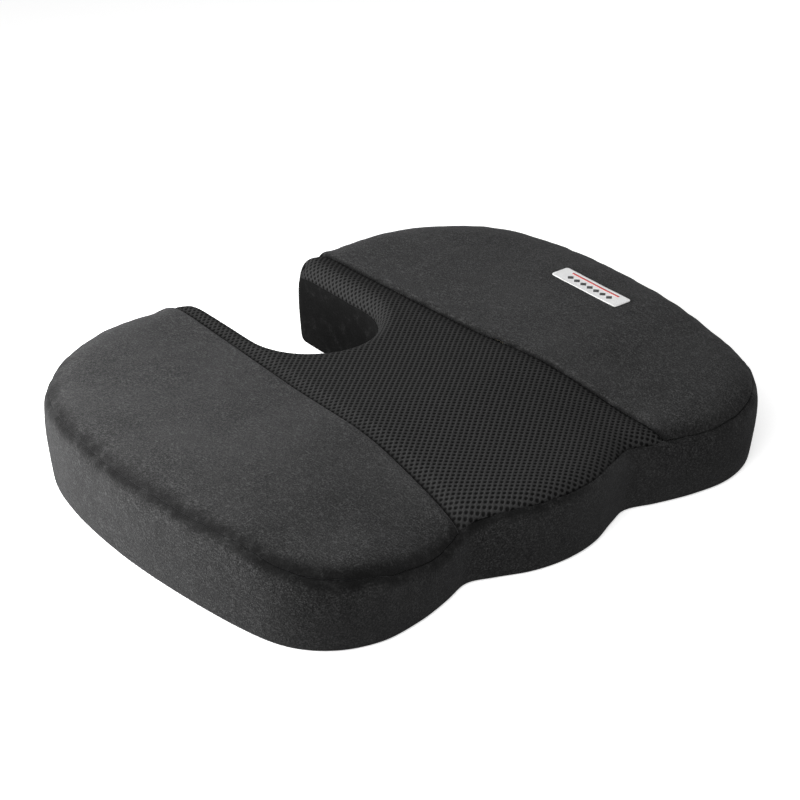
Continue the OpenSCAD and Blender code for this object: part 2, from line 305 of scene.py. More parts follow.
def foamMaterial():
    n = Nodes("memoryFoam")
    co = n.coords()
    cells = n.add("ShaderNodeTexVoronoi", {"Vector": co, "Scale": 900}).outputs["Distance"]
    tone = n.noise(co, 30, 3)
    color = n.mix(n.span(cells, 0.1, 0.5), (0.50, 0.45, 0.33), (0.78, 0.73, 0.60))
    color = n.mix(n.span(tone, 0.35, 0.7, 0, 0.3), color, (0.80, 0.73, 0.55))
    return n.finish(color, n.bump(cells, 0.0004, 0.7), n.span(cells, 0, 0.5, 0.85, 1.0))


def floorMaterial():
    n = Nodes("paleFloor")
    tone = n.noise(n.coords(), 3, 2)
    color = n.mix(tone, grey(0.90), grey(0.92))
    mat = n.finish(color, None, n.span(tone, 0, 1, 0.8, 0.9), Specular_IOR_Level=0.05,
                   Emission_Color=(1, 1, 1, 1), Emission_Strength=0.62)
    # seen from underneath the floor is clear, which shows the cushion's underside
    clear = n.add("ShaderNodeBsdfTransparent").outputs[0]
    below = n.add("ShaderNodeNewGeometry").outputs["Backfacing"]
    both = n.add("ShaderNodeMixShader", {0: below, 1: n.shader.outputs[0], 2: clear}).outputs[0]
    n.tree.links.new(both, n.tree.nodes["Material Output"].inputs["Surface"])
    return mat


# the cushion seen from above, and the height of its top
plan = {
    # half of the outline, middle of the leg edge to the rear corner, in half widths and half depths
    "outline": [
        (0, -1), (0.12, -0.98), (0.23, -0.925), (0.315, -0.89), (0.415, -0.93), (0.545, -0.97),
        (0.68, -0.98), (0.81, -0.92), (0.905, -0.79), (0.955, -0.575), (0.99, -0.23), (1, 0.085),
        (0.98, 0.4), (0.925, 0.645), (0.8, 0.83), (0.617, 0.95), (0.425, 0.993),
    ],
    "notchRadius": 46 * mm, "notchCentre": 92 * mm, "cornerRadius": 13 * mm, "rays": 361,
}
contour = {
    "dish": 3 * mm, "legFall": 9 * mm, "fallStart": 30 * mm, "fallLength": 135 * mm,
    "channelDepth": 7 * mm, "channelX": 100 * mm, "channelW": 42 * mm,  # hollows for the legs
    "edgeDrop": 4.5 * mm, "lobeFrontDrop": 5 * mm, "edgeRoll": 26 * mm, "edgeRadius": 7 * mm,
    "rimRadius": 12 * mm, "meshRear": 66 * mm, "meshFlare": 20 * mm,
    "skewRear": 3 * mm, "skewFront": 6 * mm,  # the mesh was sewn in a little askew
}
# hand-sewn unevenness along the front edge: centre, reach, height
uneven = [
    (-95 * mm, -165 * mm, 34 * mm, -5 * mm),
    (-208 * mm, -105 * mm, 32 * mm, 5 * mm),
    (95 * mm, -165 * mm, 30 * mm, 3 * mm),
]


def catmullRom(points, steps):
    p = np.array(points, float)
    p = np.vstack([2 * p[0] - p[1], p, 2 * p[-1] - p[-2]])
    t = (np.arange(steps) / steps)[:, None]
    out = []
    for a, b, c, d in zip(p[:-3], p[1:-2], p[2:-1], p[3:]):
        bend, twist = 2 * a - 5 * b + 4 * c - d, 3 * b - a - 3 * c + d
        out.append((2 * b + (c - a) * t + bend * t**2 + twist * t**3) / 2)
    return np.vstack(out + [p[-2:-1]])


def arc(centre, radius, start, end, steps=9):
    a = np.radians(np.linspace(start, end, steps))
    return np.c_[centre[0] + radius * np.cos(a), centre[1] + radius * np.sin(a)]


def atFractions(points, fractions):
    run = np.r_[0, np.cumsum(np.linalg.norm(np.diff(points, axis=0), axis=1))]
    run /= run[-1]
    return np.c_[np.interp(fractions, run, points[:, 0]), np.interp(fractions, run, points[:, 1])]


def mirrored(half):
    return np.vstack([half, half[::-1] * [-1, 1]])


def makeRays():
    # outline and notch as matching points, from the left rear corner to the right one
    r, corner = plan["notchRadius"], plan["cornerRadius"]
    pivot = (-(r + corner), halfD - corner)
    side = np.array(plan["outline"][:0:-1]) * [-halfW, halfD]
    whole = catmullRom(np.vstack([side, np.array(plan["outline"]) * [halfW, halfD]]), 10)
    leftSide = whole[whole[:, 0] < 0]
    outerHalf = np.vstack([arc(pivot, corner, 45, 90), leftSide[1:]])
    outerPath = np.vstack([outerHalf, [[0, -halfD]], outerHalf[::-1] * [-1, 1]])
    innerHalf = np.vstack([arc(pivot, corner, 45, 0), arc((0, plan["notchCentre"]), r, 180, 268, 30)])
    innerPath = mirrored(innerHalf)
    u = np.linspace(0, 1, plan["rays"])
    return atFractions(outerPath, u), atFractions(innerPath, u)


outer, inner = makeRays()


def outwards(path):
    along = np.gradient(path, axis=0)
    normal = np.c_[along[:, 1], -along[:, 0]]
    return normal / np.linalg.norm(normal, axis=1)[:, None]


outerNormal = outwards(outer)
innerNormal = -outwards(inner)  # into the notch


def nearest(points, path):
    # distance from each point to a path, and the closest point on it
    a, step = path[:-1], path[1:] - path[:-1]
    size = (step**2).sum(1) + 1e-18
    gaps, feet = [], []
    for block in np.array_split(points, max(1, len(points) // 1500)):
        dx, dy = block[:, :1] - a[:, 0], block[:, 1:] - a[:, 1]
        t = np.clip((dx * step[:, 0] + dy * step[:, 1]) / size, 0, 1)
        dx -= t * step[:, 0]
        dy -= t * step[:, 1]
        gap = dx * dx + dy * dy
        rows, best = np.arange(len(block)), gap.argmin(1)
        gaps.append(np.sqrt(gap[rows, best]))
        feet.append(block - np.c_[dx[rows, best], dy[rows, best]])
    return np.concatenate(gaps), np.vstack(feet)


def ease(t):
    t = np.clip(t, 0, 1)
    return t * t * (3 - 2 * t)


def rolled(gap, radius):
    # share of a rounded edge's drop at that distance inside it
    return 1 - np.sqrt(1 - (1 - np.clip(gap / radius, 0, 1)) ** 2)


def bell(t):
    return np.exp(-t * t)


def openHeight(xy):
    # top of the cover without the rounding of the notch's rim
    c, x, y = contour, xy[:, 0], xy[:, 1]
    ax = np.abs(x)
    fall = ease((-c["fallStart"] - y) / c["fallLength"])
    z = lobeTop - c["dish"] * (1 - ease((ax - c["meshRear"]) / (60 * mm)))
    z -= fall * (c["legFall"] + c["channelDepth"] * bell((ax - c["channelX"]) / c["channelW"]))
    toEdge, _ = nearest(xy, outer)
    lobeFront = ease((-100 * mm - y) / (60 * mm)) * bell((ax - 140 * mm) / (45 * mm))
    drop = c["edgeDrop"] + c["lobeFrontDrop"] * lobeFront
    z -= drop * (0.6 * (1 - np.clip(toEdge / c["edgeRoll"], 0, 1)) ** 2 + 0.4 * rolled(toEdge, c["edgeRadius"]))
    for cx, cy, reach, height in uneven:
        z += height * np.exp(-((x - cx) ** 2 + (y - cy) ** 2) / reach**2)
    return z


def topHeight(xy):
    toNotch, _ = nearest(xy, inner)
    return openHeight(xy) - contour["rimRadius"] * rolled(toNotch, contour["rimRadius"])


def seamX(y):
    # half width of the mesh panel
    t = np.clip((halfD - y) / (2 * halfD), 0, 1)
    return contour["meshRear"] + contour["meshFlare"] * t**1.5


def skew(y):
    # how far to the right the mesh panel's middle lies
    return contour["skewRear"] + contour["skewFront"] * ease((30 * mm - y) / (120 * mm))


def insideLoop(points, loop):
    ahead = np.roll(loop, -1, axis=0)
    rise = np.where(ahead[:, 1] == loop[:, 1], 1e-12, ahead[:, 1] - loop[:, 1])
    slope = (ahead[:, 0] - loop[:, 0]) / rise
    found = []
    for block in np.array_split(points, max(1, len(points) // 2000)):
        x, y = block[:, :1], block[:, 1:]
        crosses = ((loop[:, 1] > y) != (ahead[:, 1] > y)) & (x < slope * (y - loop[:, 1]) + loop[:, 0])
        found.append(crosses.sum(1) % 2 == 1)
    return np.concatenate(found)


edgeLoop = np.vstack([outer, inner[::-1]])
slack = {"broad": 0.5 * mm, "broadScale": 17, "fine": 0.15 * mm, "fineScale": 60}


def slacken(points):
    # soft waves in the sewn cover, the same for every piece that passes a place
    flat = points.reshape(-1, 3)
    moved = np.empty_like(flat)
    for i, p in enumerate(flat):
        at = Vector(p)
        broad = noise.noise_vector(at * slack["broadScale"]) * slack["broad"]
        fine = noise.noise_vector(at * slack["fineScale"]) * slack["fine"]
        moved[i] = at + broad + fine
    moved[:, 2] = np.where(flat[:, 2] < 4 * mm, flat[:, 2], moved[:, 2])
    return moved.reshape(points.shape)


def linked(name, bm, material):
    mesh = bpy.data.meshes.new(name)
    bm.to_mesh(mesh)
    bm.free()
    obj = bpy.data.objects.new(name, mesh)
    bpy.context.collection.objects.link(obj)
    mesh.materials.clear()
    mesh.materials.append(material)
    mesh.polygons.foreach_set("use_smooth", [True] * len(mesh.polygons))
    return obj


def gridFrom(points):
    # a plain grid whose vertices are moved to points[column][row]
    cols, rows = points.shape[:2]
    bm = bmesh.new()
    bmesh.ops.create_grid(bm, x_segments=cols - 1, y_segments=rows - 1, size=0.5)
    for v in bm.verts:
        i, j = round((v.co.x + 0.5) * (cols - 1)), round((v.co.y + 0.5) * (rows - 1))
        v.co = points[i, j]
    bmesh.ops.remove_doubles(bm, verts=bm.verts, dist=0.02 * mm)
    return bm


def faceUp(bm, up=1):
    bmesh.ops.recalc_face_normals(bm, faces=bm.faces)
    if sum(f.normal.z * f.calc_area() for f in bm.faces) * up < 0:
        bmesh.ops.reverse_faces(bm, faces=bm.faces)


def faceAlong(bm, path, normal):
    # faces of a band look the way its path's normals do
    bmesh.ops.recalc_face_normals(bm, faces=bm.faces)
    middle = Vector((*path[len(path) // 2], 0.03))
    face = min(bm.faces, key=lambda f: (f.calc_center_median() - middle).length)
    if face.normal.xy.dot(Vector(normal[len(path) // 2])) < 0:
        bmesh.ops.reverse_faces(bm, faces=bm.faces)


def addTo(bm, part):
    # joins one bmesh into another
    mesh = bpy.data.meshes.new("part")
    part.to_mesh(mesh)
    part.free()
    bm.from_mesh(mesh)
    bpy.data.meshes.remove(mesh)


def nearest3d(places, points, values):
    # the value that belongs to the closest of the points
    flat = points.reshape(-1, 3)
    tree = kdtree.KDTree(len(flat))
    for i, p in enumerate(flat):
        tree.insert(p, i)
    tree.balance()
    values = np.broadcast_to(values, points.shape[:2]).ravel()
    return np.array([values[tree.find(p)[1]] for p in places])


def modifier(obj, kind, **settings):
    mod = obj.modifiers.new(kind.lower(), kind)
    for key, value in settings.items():
        setattr(mod, key, value)
    return mod


def applyModifiers(obj):
    deps = bpy.context.evaluated_depsgraph_get()
    mesh = bpy.data.meshes.new_from_object(obj.evaluated_get(deps))
    obj.modifiers.clear()
    obj.data = mesh


def coordsOf(mesh):
    co = np.empty(len(mesh.vertices) * 3)
    mesh.vertices.foreach_get("co", co)
    return co.reshape(-1, 3)


topGrid = {
    "edgeCols": [0, 0.5, 1.2, 2.2, 3.5, 5.2, 7.5, 10.5, 14.5, 20],
    "rimCols": [0, 0.9, 2, 3.4, 5, 7, 9.5, 12.5, 17],
    "middle": 26, "narrow": 60 * mm,
}
crease = {
    "tuck": 2.0 * mm, "valley": 2.0 * mm, "reach": 5.5 * mm, "pucker": 0.25, "rhythm": 75,
    "shade": 8 * mm, "left": 0.85, "right": 0.4,  # how far and how darkly painted shade lies along the crease
}


def puckers(path):
    # how strongly the seam gathers the cloth at each point, about 0
    rhythm = crease["rhythm"]
    slow = np.array([noise.noise(Vector((*p, 0.3)) * rhythm) for p in path])
    quick = np.array([noise.noise(Vector((*p, 4.1)) * rhythm * 2.2) for p in path])
    return crease["pucker"] * 2 * (slow + 0.7 * quick)


outerPuckers = puckers(outer)


def rayStops(length):
    # fractions along a ray, close together at the edge and at the rim
    scale = min(1, length / topGrid["narrow"]) * mm
    start = np.array(topGrid["edgeCols"]) * scale
    end = length - np.array(topGrid["rimCols"][::-1]) * scale
    middle = np.linspace(start[-1], end[0], topGrid["middle"] + 2)[1:-1]
    return np.r_[start, middle, end] / max(length, 1e-9)


def valley(gap, pucker):
    return crease["valley"] * (1 + pucker) * np.exp(-((gap / crease["reach"]) ** 1.5))


def topPoints():
    lengths = np.linalg.norm(outer - inner, axis=1)
    stops = np.array([rayStops(max(s, 0.1 * mm)) for s in lengths])
    xy = outer[:, None] * (1 - stops[..., None]) + inner[:, None] * stops[..., None]
    flat = xy.reshape(-1, 2)
    gap = nearest(flat, outer)[0].reshape(stops.shape)
    z = topHeight(flat).reshape(stops.shape) - valley(gap, outerPuckers[:, None])
    xy[:, 0] -= outerNormal * crease["tuck"]
    return np.dstack([xy, z])


seamStops = [-9, -6, -3.8, -2.2, -1.2, -0.5, 0, 0.5, 1.2, 2.2, 3.8, 6, 9]
seamShape = {
    "sink": 2.6 * mm, "velourReach": 1.1 * mm, "puff": 0.5 * mm, "meshReach": 2.2 * mm, "meshLow": 1.2 * mm,
    "tuck": 0.9 * mm, "tuckDepth": 0.2 * mm,  # the mesh's edge runs on below the velour
}


def cutSeams(bm):
    # loops of edges along both seams, cut while the seams are straight
    rear = contour["meshRear"]
    for v in bm.verts:
        v.co.x = (v.co.x - skew(v.co.y)) * rear / seamX(v.co.y)
    for side in (-1, 1):
        for stop in seamStops:
            geom = bm.verts[:] + bm.edges[:] + bm.faces[:]
            place = (side * (rear + stop * mm), 0, 0)
            bmesh.ops.bisect_plane(bm, geom=geom, dist=1e-6, plane_co=place, plane_no=(1, 0, 0))
    for v in bm.verts:
        v.co.x = v.co.x * seamX(v.co.y) / rear + skew(v.co.y)


def seamGap(xy):
    # distance outside the mesh panel
    return np.abs(xy[:, 0] - skew(xy[:, 1])) - seamX(xy[:, 1])


def velourSink(gap):
    # the velour puffs up a little and then rolls down into the seam
    roll = np.exp(-np.abs(gap / seamShape["velourReach"]) ** 1.6)
    return seamShape["sink"] * roll - seamShape["puff"] * bell((gap - 5 * mm) / (3.5 * mm))


def meshSink(gap):
    # the thinner mesh lies a little lower beside the seam
    low, reach = seamShape["meshLow"], seamShape["meshReach"]
    roll = np.exp(-np.abs(np.minimum(gap, 0) / reach) ** 1.6)
    under = seamShape["tuckDepth"] * ease(gap / seamShape["tuck"])
    return low * ease((gap + 12 * mm) / (9 * mm)) + (seamShape["sink"] - low) * roll + under


def addShade(obj, share):
    # painted shade: 1 where the cloth is painted dark in a seam, a crease or the notch, 0 on open cloth
    layer = obj.data.attributes.new("seamShade", "FLOAT", "POINT")
    layer.data.foreach_set("value", np.clip(share, 0, 1).astype(np.float32))


def creaseShade(gap, x):
    # painted shade in the crease, darker round the left lobe
    side = ease((x + 60 * mm) / (120 * mm))
    return np.exp(-((gap / crease["shade"]) ** 2)) * (crease["left"] * (1 - side) + crease["right"] * side)


clothThick = 1.4 * mm


def finishCloth(obj, node, levels=1):
    if levels:
        modifier(obj, "SUBSURF", levels=levels, render_levels=levels)
    modifier(obj, "SOLIDIFY", thickness=clothThick, offset=-1)
    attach(obj, "cushion")
    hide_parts(node)


def makeTops(velour):
    bm = gridFrom(topPoints())
    cutSeams(bm)
    co = np.array([v.co for v in bm.verts])
    co[:, 2] -= velourSink(seamGap(co))
    co = slacken(co)
    for v, place in zip(bm.verts, co):
        v.co = place
    faceUp(bm)
    for name, node, side in (("leftTopPanel", "left_top_panel", -1), ("rightTopPanel", "right_top_panel", 1)):
        part = bm.copy()
        middles = np.array([f.calc_center_median() for f in part.faces])
        keep = (seamGap(middles) > 0) & (middles[:, 0] * side > 0)
        bmesh.ops.delete(part, geom=[f for f, kept in zip(part.faces, keep) if not kept], context="FACES")
        obj = linked(name, part, velour)
        xy = coordsOf(obj.data)[:, :2]
        edge, seam = nearest(xy, outer)[0], seamGap(xy)
        # painted shade along the outer crease and beside the mesh seams
        addShade(obj, creaseShade(edge, xy[:, 0]) + np.exp(-((seam / (1.5 * mm)) ** 2)) * 0.8)
        finishCloth(obj, node)
    bm.free()


def knitHoles(uv):
    # distance from the nearest hole's middle, in hole radii
    cells = uv / [meshLook["pitchX"], meshLook["pitchY"]]
    reach = np.array([meshLook["pitchX"] / meshLook["holeX"], meshLook["pitchY"] / meshLook["holeY"]])
    away = [np.linalg.norm((cells - shift - np.round(cells - shift)) * reach, axis=1) for shift in (0, 0.5)]
    return np.minimum(*away)


def makeMesh(cloth):
    # the grid steps a quarter of the knit's pitch, so that each hole has a point at its middle
    stepX, stepY = meshLook["pitchX"] / 4, meshLook["pitchY"] / 4
    cols, rows = 2 * math.ceil(105 * mm / stepX), 2 * math.ceil((halfD + 5 * mm) / stepY)
    r = contour["rimRadius"]
    overhang = r * (math.pi / 2 - 1)
    bm = bmesh.new()
    bmesh.ops.create_grid(bm, x_segments=cols, y_segments=rows, size=1)
    bmesh.ops.scale(bm, vec=(cols * stepX / 2, rows * stepY / 2, 1), verts=bm.verts)
    middles = np.array([f.calc_center_median()[:2] for f in bm.faces])
    onTop = insideLoop(middles, edgeLoop) & (seamGap(middles) < seamShape["tuck"])
    gap, foot = nearest(middles, inner)
    ends = np.minimum(np.linalg.norm(foot - inner[0], axis=1), np.linalg.norm(foot - inner[-1], axis=1))
    inNotch = ~insideLoop(middles, edgeLoop) & (gap < overhang) & (ends > 0.2 * mm)
    inNotch &= np.abs(middles[:, 0]) < 60 * mm
    keep = onTop | inNotch
    bmesh.ops.delete(bm, geom=[f for f, kept in zip(bm.faces, keep) if not kept], context="FACES")
    q = np.array([v.co for v in bm.verts])[:, :2]
    rim = np.array([v.is_boundary for v in bm.verts])
    q[rim] = ontoEdge(q[rim], overhang)
    uv = q.copy()
    gap, foot = nearest(q, inner)
    out = np.where(insideLoop(q, edgeLoop) | (gap < 1e-6) | (gap > overhang * 1.2), 1, -1)
    away = (q - foot) * out[:, None] / np.maximum(gap, 1e-6)[:, None]
    turn = np.clip((r - gap * out) / r, 0, math.pi / 2)
    rolling = turn > 0
    plan = np.where(rolling[:, None], foot + away * (r * (1 - np.sin(turn)))[:, None], q)
    z = openHeight(plan) - r * (1 - np.cos(turn)) - meshSink(seamGap(plan))
    edge = nearest(plan, outer)[0]
    z -= valley(edge, 0)
    lift = np.ones(len(q))
    lift -= ease((1.3 - knitHoles(uv)) / 1.0)
    points = np.c_[plan, z]
    depth = meshLook["holeDepth"] * (1 - lift)
    down = np.c_[-away * np.sin(turn)[:, None], -np.cos(turn)]
    down[:, :2] *= -1
    points = slacken(points) + down * depth[:, None] * [1, 1, 1]
    for v, place in zip(bm.verts, points):
        v.co = place
    faceUp(bm)
    obj = linked("centreMeshPanel", bm, cloth)
    # painted shade on the knit beside the seams
    addShade(obj, np.exp(-((seamGap(plan) / (1.6 * mm)) ** 2)))
    layer = obj.data.uv_layers.new(name="weave")
    loops = np.empty(len(obj.data.loops), int)
    obj.data.loops.foreach_get("vertex_index", loops)
    layer.data.foreach_set("uv", uv[loops].ravel())
    finishCloth(obj, "centre_mesh_panel", levels=0)


def ontoEdge(q, overhang):
    # moves the cut grid's ragged rim onto the seams, the front edge and the notch
    y = q[:, 1]
    side = np.sign(q[:, 0] - skew(y))
    seam = np.c_[skew(y) + side * (seamX(y) + seamShape["tuck"]), y]
    toSeam = np.abs(seam[:, 0] - q[:, 0])
    toOuter, outerFoot = nearest(q, outer)
    toInner, innerFoot = nearest(q, inner)
    inNotch = ~insideLoop(q, edgeLoop) & (toOuter > 2 * mm)
    away = (q - innerFoot) / np.maximum(toInner, 1e-9)[:, None]
    rimPoint = innerFoot + away * overhang
    choice = np.argmin(np.c_[toSeam, toOuter, np.where(inNotch, np.abs(toInner - overhang), 1)], axis=1)
    return np.choose(choice[:, None], [seam, outerFoot, rimPoint])


band = {
    "stops": [0, 0.02, 0.06, 0.14, 0.3, 0.5, 0.7, 0.84, 0.91, 0.955, 0.985, 1],  # hem to top seam
    "wall": [-1.3, -0.2, 0.5, 1.1, 2.0, 3.0, 3.6, 3.4, 2.7, 1.6, 0.1, -2.0],  # bulge in millimetres
    "notch": [-1.3, -0.3, 0.3, 0.6, 0.9, 1.1, 1.2, 1.2, 1.2, 1.1, 0.7, -0.4],
    "steps": 2, "hemZ": 0.7 * mm, "blend": 18 * mm, "notchShade": 1.0,  # painted shade over the whole notch wall
}


def bandPoints(path, normal, top, bulge, gather):
    both = (np.array(band["wall"]) + np.array(band["notch"])) / 2
    free = catmullRom(np.c_[band["stops"], bulge], band["steps"])
    shared = catmullRom(np.c_[band["stops"], both], band["steps"])
    run = np.r_[0, np.cumsum(np.linalg.norm(np.diff(path, axis=0), axis=1))]
    toEnd = ease(np.minimum(run, run[-1] - run) / band["blend"])[:, None]
    f = free[None, :, 0]
    height = (top[:, None] - band["hemZ"]) * (1 - f)
    out = (free[None, :, 1] * toEnd + shared[None, :, 1] * (1 - toEnd)) * mm
    out = out - gather[:, None] * 1.2 * mm * np.exp(-((height / (7 * mm)) ** 2)) * ease(height / (2 * mm))
    xy = path[:, None] + normal[:, None] * out[..., None]
    z = band["hemZ"] + (top[:, None] - band["hemZ"]) * f
    return np.dstack([xy, z]), height


def makeBand(name, node, path, normal, top, shape, gather, cloth):
    points, height = bandPoints(path, normal, top, band[shape], gather)
    points = slacken(points)
    bm = gridFrom(points)
    faceAlong(bm, path, normal)
    obj = linked(name, bm, cloth)
    # painted shade: darker towards the crease at the top, and all over the notch band
    below = nearest3d(coordsOf(obj.data), points, height)
    paintedNotchShade = band["notchShade"] if shape == "notch" else 0
    addShade(obj, creaseShade(below * 1.25, coordsOf(obj.data)[:, 0]) + paintedNotchShade)
    finishCloth(obj, node)


def makeBands(velour, shadedNotchVelour):
    top = topHeight(outer) - valley(0, outerPuckers)
    makeBand("sideBand", "side_band", outer, outerNormal, top, "wall", outerPuckers, velour)
    still = np.zeros(len(inner))
    # the notch band wears the darker velour copy, which stands in for shade in the notch
    makeBand("notchBand", "notch_band", inner, innerNormal, topHeight(inner), "notch", still,
             shadedNotchVelour)


underside = {"clothZ": 0.7 * mm, "thick": 0.9 * mm, "hem": 1.2 * mm, "slotHalf": 7 * mm, "columns": 24}
zipLo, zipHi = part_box("zip_slider")
zipY = (zipLo.y + zipHi.y) / 2


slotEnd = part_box("zip_tape_front")[1].x - 1 * mm


def makeUnderside(cloth):
    stops = np.linspace(0, 1, underside["columns"])[None, :, None]
    edge, rim = outer - outerNormal * underside["hem"], inner - innerNormal * underside["hem"]
    xy = edge[:, None] * (1 - stops) + rim[:, None] * stops
    bm = gridFrom(np.dstack([xy, np.full(xy.shape[:2], underside["clothZ"])]))
    for side in (-1, 1):
        geom = bm.verts[:] + bm.edges[:] + bm.faces[:]
        place = (0, zipY + side * underside["slotHalf"], 0)
        bmesh.ops.bisect_plane(bm, geom=geom, dist=1e-6, plane_co=place, plane_no=(0, 1, 0))
        geom = bm.verts[:] + bm.edges[:] + bm.faces[:]
        bmesh.ops.bisect_plane(bm, geom=geom, dist=1e-6, plane_co=(side * slotEnd, 0, 0), plane_no=(1, 0, 0))
    faceUp(bm, -1)
    halves = (("bottomPanelFront", "bottom_panel_front", -1), ("bottomPanelRear", "bottom_panel_rear", 1))
    for name, node, side in halves:
        part = bm.copy()
        gone = []
        for face in part.faces:
            middle = face.calc_center_median()
            past = (middle.y - zipY) * side - underside["slotHalf"]
            atEnd = abs(middle.x) > slotEnd and past > -2 * underside["slotHalf"]
            if past < 0 and not (side < 0 and atEnd):  # the front panel closes the slot's ends
                gone.append(face)
        bmesh.ops.delete(part, geom=gone, context="FACES")
        lip = zipY + side * underside["slotHalf"]
        rim = [e for e in part.edges if e.is_boundary and all(abs(v.co.y - lip) < 1e-5 for v in e.verts)]
        for lift in (1.2 * mm, 1.6 * mm, 1.4 * mm):  # the slot's edge is folded up and under
            made = bmesh.ops.extrude_edge_only(part, edges=rim)["geom"]
            fresh = [v for v in made if isinstance(v, bmesh.types.BMVert)]
            bmesh.ops.translate(part, vec=(0, side * 0.3 * mm, lift), verts=fresh)
            edges = [e for e in made if isinstance(e, bmesh.types.BMEdge) and e.is_boundary]
            rim = [e for e in edges if all(v in fresh for v in e.verts)]
        obj = linked(name, part, cloth)
        modifier(obj, "SOLIDIFY", thickness=underside["thick"], offset=-1)
        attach(obj, "cushion")
        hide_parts(node)
    bm.free()


dots = {"pitch": 8.5 * mm, "base": 1.6 * mm, "tip": 1.1 * mm, "hemGap": 6 * mm, "zipGap": 6 * mm}


def makeDots(rubber):
    # rubber dots in staggered rows, clear of the hem and of the zip
    rows = np.arange(-halfD, halfD, dots["pitch"] * 0.866)
    x, y = np.meshgrid(np.arange(-halfW, halfW, dots["pitch"]), rows)
    x = x + (np.arange(len(rows)) % 2)[:, None] * dots["pitch"] / 2
    spots = np.c_[x.ravel(), y.ravel()]
    spots = spots[insideLoop(spots, edgeLoop)]
    hem, _ = nearest(spots, np.vstack([edgeLoop, edgeLoop[:1]]))
    clearOfZip = np.abs(spots[:, 1] - zipY) > underside["slotHalf"] + dots["zipGap"]
    spots = spots[(hem > dots["hemGap"]) & clearOfZip]
    bm = bmesh.new()
    for level in np.unique(spots[:, 1]):
        row = bmesh.new()
        for x in spots[spots[:, 1] == level, 0]:
            matrix = Matrix.Translation((x, level, underside["clothZ"] / 2))
            bmesh.ops.create_cone(row, cap_ends=True, segments=10, radius1=dots["tip"], radius2=dots["base"],
                                  depth=underside["clothZ"], matrix=matrix)
        addTo(bm, row)
    obj = linked("gripDots", bm, rubber)
    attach(obj, "cushion")
    print("grip dots", len(spots))


zipLook = {"pitch": 1.5 * mm, "wire": 0.28 * mm, "sides": 8, "stitch": 3.2 * mm}


def makeCoil(name, node, nylon):
    # one side of the nylon coil: a flattened spiral along the tape's edge
    lo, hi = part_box(node)
    middle, half = (lo + hi) / 2, (hi - lo) / 2
    turns = int((hi.x - lo.x) / zipLook["pitch"])
    curve = bpy.data.curves.new(name, "CURVE")
    curve.dimensions = "3D"
    curve.bevel_depth, curve.bevel_resolution = zipLook["wire"], 1
    line = curve.splines.new("POLY")
    count = turns * zipLook["sides"]
    line.points.add(count - 1)
    for i, point in enumerate(line.points):
        a = 2 * math.pi * i / zipLook["sides"]
        x = lo.x + zipLook["wire"] + (hi.x - lo.x - 2 * zipLook["wire"]) * i / count
        y = middle.y + (half.y - zipLook["wire"]) * math.cos(a)
        z = middle.z + (half.z - zipLook["wire"]) * math.sin(a)
        point.co = (x, y, z, 1)
    source = bpy.data.objects.new(name + "Line", curve)
    bpy.context.collection.objects.link(source)
    mesh = bpy.data.meshes.new_from_object(source.evaluated_get(bpy.context.evaluated_depsgraph_get()))
    bpy.data.objects.remove(source)
    bm = bmesh.new()
    bm.from_mesh(mesh)
    obj = linked(name, bm, nylon)
    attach(obj, "cushion")
    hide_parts(node)


def addStitch(bm, place, turn, length, width, height):
    size = Matrix.Diagonal((length / 2, width / 2, height / 2, 1))
    matrix = Matrix.Translation(place) @ Matrix.Rotation(turn, 4, "Z") @ size
    bmesh.ops.create_uvsphere(bm, u_segments=6, v_segments=4, radius=1, matrix=matrix)


def makeZipStitches(thread):
    # two rows of lockstitch hold the tapes to the slot's folded edges
    bm = bmesh.new()
    reach = 190 * mm
    for side in (-1, 1):
        row = bmesh.new()
        y = zipY + side * (underside["slotHalf"] + 2.2 * mm)
        for x in np.arange(-reach, reach, zipLook["stitch"]):
            addStitch(row, (x, y, underside["clothZ"]), 0, zipLook["stitch"] * 0.8, 0.5 * mm, 0.4 * mm)
        addTo(bm, row)
    obj = linked("zipStitches", bm, thread)
    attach(obj, "cushion")


labelLook = {
    "corner": 2.2 * mm, "lift": 0.45 * mm, "thick": 0.5 * mm, "inset": 1.1 * mm, "stitch": 2.3 * mm,
    "diamonds": 7, "diamond": 2.9 * mm, "pitch": 6.6 * mm, "rowX": -1.2 * mm, "barX": 4.6 * mm, "bar": 1.5 * mm,
}


def coverHeight(xy):
    xy = np.atleast_2d(xy)
    return slacken(np.c_[xy, openHeight(xy)])[:, 2]


